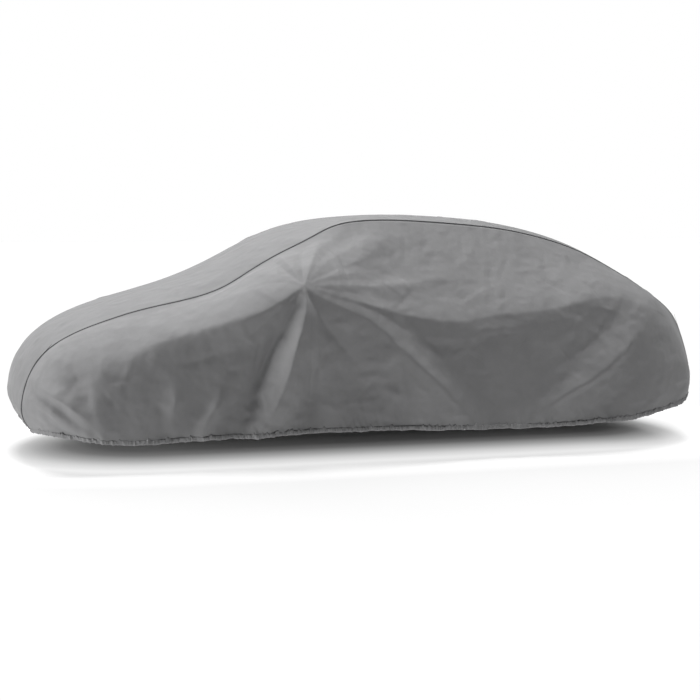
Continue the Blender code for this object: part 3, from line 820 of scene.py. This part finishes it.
def resample(points, places, known):
    return np.stack([np.interp(places, known, points[:, axis]) for axis in range(3)], axis=-1)


def pucker_field(places, draw, gap):
    """Uneven puckers along the casing, one for each length of the gap: their rise, from 0 to 1."""
    rise = np.zeros_like(places)
    for centre in draw.uniform(0.0, places[-1], int(places[-1] / gap)):
        width = PUCKER * draw.uniform(*PUCKER_WIDTH)
        share = draw.uniform(*PUCKER_SHARE)
        rise = np.maximum(rise, share * clamp(1 - np.abs(places - centre) / width))
    return rise


def build_casing(name, edge, up_cloth, normals, draw, material):
    """The band along one panel's hem, from its edge, the ways up the cloth and the ways out."""
    known = path_lengths(edge)
    places = np.linspace(0.0, known[-1], int(known[-1] / CASING_STEP))
    edge, up_cloth, normals = [resample(item, places, known) for item in (edge, up_cloth, normals)]
    up_cloth, normals = unit(up_cloth), unit(normals)
    upper = pucker_field(places, draw, PUCKER)
    lower = pucker_field(places, draw, PUCKER)
    tufts = pucker_field(places, draw, TUFT_GAP)
    turns = places[::CASING_SWAY_CELLS]
    sway = CASING_SWAY * np.interp(places, turns, draw.uniform(-1, 1, len(turns)))
    rings = []
    for side in range(CASING_SIDES + 1):
        turn = 2 * math.pi * side / CASING_SIDES
        height = 0.5 * CASING_HEIGHT * (1 - math.cos(turn)) - CASING_DROP
        share = height / CASING_HEIGHT
        pucker = upper * share + lower * (1 - share)
        out = CASING_BULGE * math.sin(turn)
        if out > 0:
            out = out + PUCKER_RISE * pucker * math.sin(turn) ** 0.5
        shift = sway * (1 - share) - PUCKER_DROP * pucker * (1 - share)
        shift = shift + TUFT_RISE * tufts * share ** 2
        outward = normals * np.asarray(out - CLOTH / 2)[..., None]
        rings.append(edge + up_cloth * (height + shift)[:, None] + outward)
    points = np.stack(rings, axis=1)
    around = np.linspace(0.0, 2 * CASING_HEIGHT, CASING_SIDES + 1)
    reach = np.stack(np.broadcast_arrays(places[:, None], around[None, :]), axis=-1)
    shell = grid_mesh(points, reach)
    bmesh.ops.remove_doubles(shell, verts=shell.verts[:], dist=SAME_PLACE)
    bmesh.ops.holes_fill(shell, edges=[item for item in shell.edges if item.is_boundary], sides=0)
    bmesh.ops.recalc_face_normals(shell, faces=shell.faces[:])
    return finish_mesh(shell, name, material)


def side_casing(hang, panel, normals, material):
    edge = to_frame(panel[:, -1], hang.side)
    above = to_frame(panel[:, -1 - CASING_UP], hang.side)
    outward = normals[:, -2] * (1, hang.side, 1)
    draw = np.random.default_rng(hang.seed + CASING_SEED)
    return build_casing("hem_casing_" + hang.name, edge, above - edge, outward, draw, material)


def end_casings(outer, normals, material):
    """The casings of the centre panel at the nose and the tail."""
    pieces = []
    for end in CASING_ENDS:
        name = "hem_casing_" + end.name
        edge = outer[end.edge_row]
        up_cloth = outer[end.above_row] - edge
        draw = np.random.default_rng(end.seed)
        pieces.append(build_casing(name, edge, up_cloth, normals[end.edge_row], draw, material))
    return pieces


# ---------------------------------------------------------------- finishes

CLOTH_STOPS = ((0.35, (0.190, 0.190, 0.193)), (0.65, (0.222, 0.222, 0.225)))
TAPE_STOPS = ((0.0, (0.020, 0.020, 0.022)), (1.0, (0.040, 0.040, 0.043)))
FLOOR_STOPS = ((0.0, (0.30, 0.30, 0.30)), (1.0, (0.32, 0.32, 0.32)))
WHITE = (1.0, 1.0, 1.0, 1.0)
FIBRES_SHARE = 0.35       # of the cloth's mottle, whose clouds give the rest
FIBRES_STRETCH = (1.0, 7.0, 1.0)


def new_material(name):
    material = bpy.data.materials.new(name)
    material.use_nodes = True
    tree = material.node_tree
    return material, tree, tree.nodes["Principled BSDF"]


def add_node(tree, kind, **settings):
    node = tree.nodes.new(kind)
    for key, value in settings.items():
        setattr(node, key, value)
    return node


def set_inputs(node, **values):
    """Gives a node's inputs their values, or the sockets that they follow."""
    for key, value in values.items():
        socket = node.inputs[key.replace("_", " ")]
        if isinstance(value, bpy.types.NodeSocket):
            node.id_data.links.new(value, socket)
        else:
            socket.default_value = value
    return node


def noise_node(tree, vector, scale, detail, roughness=0.5, kind="FBM"):
    node = add_node(tree, "ShaderNodeTexNoise", noise_type=kind)
    set_inputs(node, Vector=vector, Scale=scale, Detail=detail, Roughness=roughness)
    return node.outputs["Fac"]


def ramp_node(tree, value, stops):
    """The colour for a value, from stops that each have a place from 0 to 1 and a colour."""
    node = set_inputs(add_node(tree, "ShaderNodeValToRGB"), Fac=value)
    elements = node.color_ramp.elements
    for _ in stops[2:]:
        elements.new(0.5)
    for element, (place, colour) in zip(elements, stops):
        element.position = place
        element.color = (*colour, 1.0)
    return node.outputs["Color"]


def range_node(tree, value, low, high):
    """Maps a value from 0..1 to low..high."""
    node = add_node(tree, "ShaderNodeMapRange")
    return set_inputs(node, Value=value, To_Min=low, To_Max=high).outputs["Result"]


def bump_node(tree, height, distance, strength=1.0, below=None):
    node = add_node(tree, "ShaderNodeBump")
    set_inputs(node, Height=height, Strength=strength, Distance=distance)
    if below is not None:
        set_inputs(node, Normal=below)
    return node.outputs["Normal"]


def cover_cloth():
    """Grey bonded fibres with a dull sheen, cloudy thickness, soft dents and faint pressed dots."""
    material, tree, shader = new_material("grey non-woven cloth")
    place = add_node(tree, "ShaderNodeTexCoord").outputs["Object"]
    uv = add_node(tree, "ShaderNodeUVMap", uv_map="cloth").outputs["UV"]
    clouds = noise_node(tree, place, scale=7.0, detail=4.0, roughness=0.6)
    stretched = set_inputs(add_node(tree, "ShaderNodeMapping"), Vector=uv, Scale=FIBRES_STRETCH)
    fibres = noise_node(tree, stretched.outputs["Vector"], scale=60.0, detail=6.0, roughness=0.65)
    mottle = add_node(tree, "ShaderNodeMix", data_type="FLOAT")
    set_inputs(mottle, Factor=FIBRES_SHARE, A=clouds, B=fibres)
    creased = noise_node(tree, place, scale=11.0, detail=3.0, kind="RIDGED_MULTIFRACTAL")
    dots = add_node(tree, "ShaderNodeTexVoronoi", feature="SMOOTH_F1")
    set_inputs(dots, Vector=uv, Scale=420.0, Randomness=0.25)
    waves = noise_node(tree, place, scale=3.4, detail=3.0, roughness=0.55)
    normal = bump_node(tree, waves, distance=0.022)
    normal = bump_node(tree, creased, distance=0.006, below=normal)
    normal = bump_node(tree, fibres, distance=0.0004, strength=0.5, below=normal)
    normal = bump_node(tree, dots.outputs["Distance"], distance=0.0002, strength=0.4, below=normal)
    set_inputs(
        shader,
        Base_Color=ramp_node(tree, mottle.outputs[0], CLOTH_STOPS),
        Roughness=range_node(tree, clouds, low=0.62, high=0.78),
        Sheen_Weight=0.06,
        Sheen_Roughness=0.5,
        Specular_IOR_Level=0.35,
        Normal=normal,
    )
    return material


def seam_tape():
    """Dark woven tape with fine ribs."""
    material, tree, shader = new_material("dark seam tape")
    uv = add_node(tree, "ShaderNodeUVMap", uv_map="cloth").outputs["UV"]
    wave = add_node(tree, "ShaderNodeTexWave", wave_type="BANDS", bands_direction="X")
    ribs = set_inputs(wave, Vector=uv, Scale=180.0, Distortion=0.6, Detail=2.0).outputs["Fac"]
    set_inputs(
        shader,
        Base_Color=ramp_node(tree, ribs, TAPE_STOPS),
        Roughness=0.8,
        Normal=bump_node(tree, ribs, distance=0.0003, strength=0.6),
    )
    return material


def vector_step(tree, operation, vector, fixed=(0.0, 0.0, 0.0)):
    """One step of vector arithmetic, with a fixed second vector where the operation takes one."""
    node = add_node(tree, "ShaderNodeVectorMath", operation=operation)
    tree.links.new(vector, node.inputs[0])
    node.inputs[1].default_value = fixed
    return node.outputs["Value" if operation == "LENGTH" else "Vector"]


def painted_shadow_glow(tree, place):
    """The floor's painted glow at a place, dark along a line under the cover as a painted shadow,
    from the place's distance off that line.
    """
    off = vector_step(tree, "SUBTRACT", place, (*SHADOW_MIDDLE, 0.0))
    off = vector_step(tree, "ABSOLUTE", off)
    off = vector_step(tree, "SUBTRACT", off, (*SHADOW_HALF, 0.0))
    off = vector_step(tree, "MAXIMUM", off)
    off = vector_step(tree, "MULTIPLY", off, (1 / SHADOW_FADE, 1 / SHADOW_FADE, 0.0))
    stops = [(share, (glow, glow, glow)) for share, glow in GLOW]
    return ramp_node(tree, vector_step(tree, "LENGTH", off), stops)


# The floor glows though it is no lamp, which is painted light, and it is held dark under the cover as
# a painted shadow.
def floor_material():
    material, tree, shader = new_material("studio floor")
    place = add_node(tree, "ShaderNodeTexCoord").outputs["Object"]
    clouds = noise_node(tree, place, scale=0.8, detail=2.0)
    set_inputs(
        shader,
        Base_Color=ramp_node(tree, clouds, FLOOR_STOPS),
        Roughness=0.9,
        Emission_Color=WHITE,
        Emission_Strength=painted_shadow_glow(tree, place),
    )
    return material


# ---------------------------------------------------------------- studio

CAMERA_PLACE = (-2.8094, -9.0908, 0.026)
CAMERA_TURN = 16.0        # degrees to the tail side of straight across
CAMERA_DIP = 5.381        # degrees below level
CAMERA_LENS = 75.994      # millimetres
CAMERA_SENSOR = 36.0

Sun = namedtuple("Sun", "name towards spread strength")   # the spread in degrees
SUNS = (
    Sun("nose side", (-0.985, 0.0, 0.174), 18, 2.42),
    Sun("far side", (0.0, 0.707, 0.707), 50, 1.20),
    Sun("overhead", (-0.035, 0.0, 0.999), 22, 3.10),
    Sun("tail side", (0.423, 0.0, 0.906), 22, 0.82),
)
WORLD_GLOW = 0.01
FLOOR_HALF = 60.0         # half its width
# The floor's glow is painted light, and its dark middle is a painted shadow under the cover.
SHADOW_MIDDLE = (-0.05, 0.27)    # of the painted shadow in the floor's glow, a line under the cover
SHADOW_HALF = (1.45, 0.0)        # half the length and half the width of that line
SHADOW_FADE = 1.60        # distance from the line at which the last glow is reached
GLOW = (                  # shares of that distance, and the floor's painted glow at each
    (0.0, 0.0), (0.20, 0.03), (0.31, 0.11), (0.43, 0.34),
    (0.54, 0.62), (0.65, 0.82), (0.78, 0.66), (1.0, 0.48),
)


def build_camera():
    data = bpy.data.cameras.new("camera")
    data.sensor_width = CAMERA_SENSOR
    data.lens = CAMERA_LENS
    camera = add_object("camera", data)
    camera.location = CAMERA_PLACE
    camera.rotation_euler = (math.radians(90 - CAMERA_DIP), 0.0, math.radians(-CAMERA_TURN))
    bpy.context.scene.camera = camera


def build_lights():
    for sun in SUNS:
        data = bpy.data.lights.new(sun.name, "SUN")
        data.energy = sun.strength
        data.angle = math.radians(sun.spread)
        lamp = add_object(sun.name, data)
        lamp.rotation_euler = Vector(sun.towards).to_track_quat("Z", "Y").to_euler()


def build_world():
    """White behind the object, and a faint glow from all round."""
    world = bpy.data.worlds.new("studio")
    world.use_nodes = True
    tree = world.node_tree
    glow = set_inputs(tree.nodes["Background"], Color=WHITE, Strength=WORLD_GLOW)
    white = set_inputs(add_node(tree, "ShaderNodeBackground"), Color=WHITE, Strength=1.0)
    seen = add_node(tree, "ShaderNodeLightPath").outputs["Is Camera Ray"]
    mix = set_inputs(add_node(tree, "ShaderNodeMixShader"), Fac=seen)
    tree.links.new(glow.outputs["Background"], mix.inputs[1])
    tree.links.new(white.outputs["Background"], mix.inputs[2])
    set_inputs(tree.nodes["World Output"], Surface=mix.outputs["Shader"])
    bpy.context.scene.world = world


def build_floor():
    shell = bmesh.new()
    bmesh.ops.create_grid(shell, x_segments=4, y_segments=4, size=FLOOR_HALF)
    bmesh.ops.translate(shell, verts=shell.verts[:], vec=(0, 0, GROUND))
    floor = add_object("floor", mesh_of(shell, "floor", floor_material()))


# ---------------------------------------------------------------- putting it together

def main():
    bpy.context.scene.view_settings.view_transform = "Standard"
    build_camera()
    cloth = cover_cloth()
    tape = seam_tape()
    sides = [drape(hang) for hang in (LEFT, RIGHT)]
    centre, centre_outer, centre_normals = build_centre(sides, cloth)
    ends = end_casings(centre_outer, centre_normals, cloth)
    pieces = [(centre, "cover_cloth")] + [(end, "cover_cloth") for end in ends]
    for draped in sides:
        side, panel, normals = build_side(draped, cloth)
        casing = side_casing(draped.hang, panel, normals, cloth)
        binding = build_binding(draped, tape)
        pieces += [(side, "cover_cloth"), (casing, "cover_cloth"), (binding, "seam_tape")]
    for piece, slot in pieces:
        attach(piece, "root")
    build_floor()
    build_lights()
    build_world()


main()
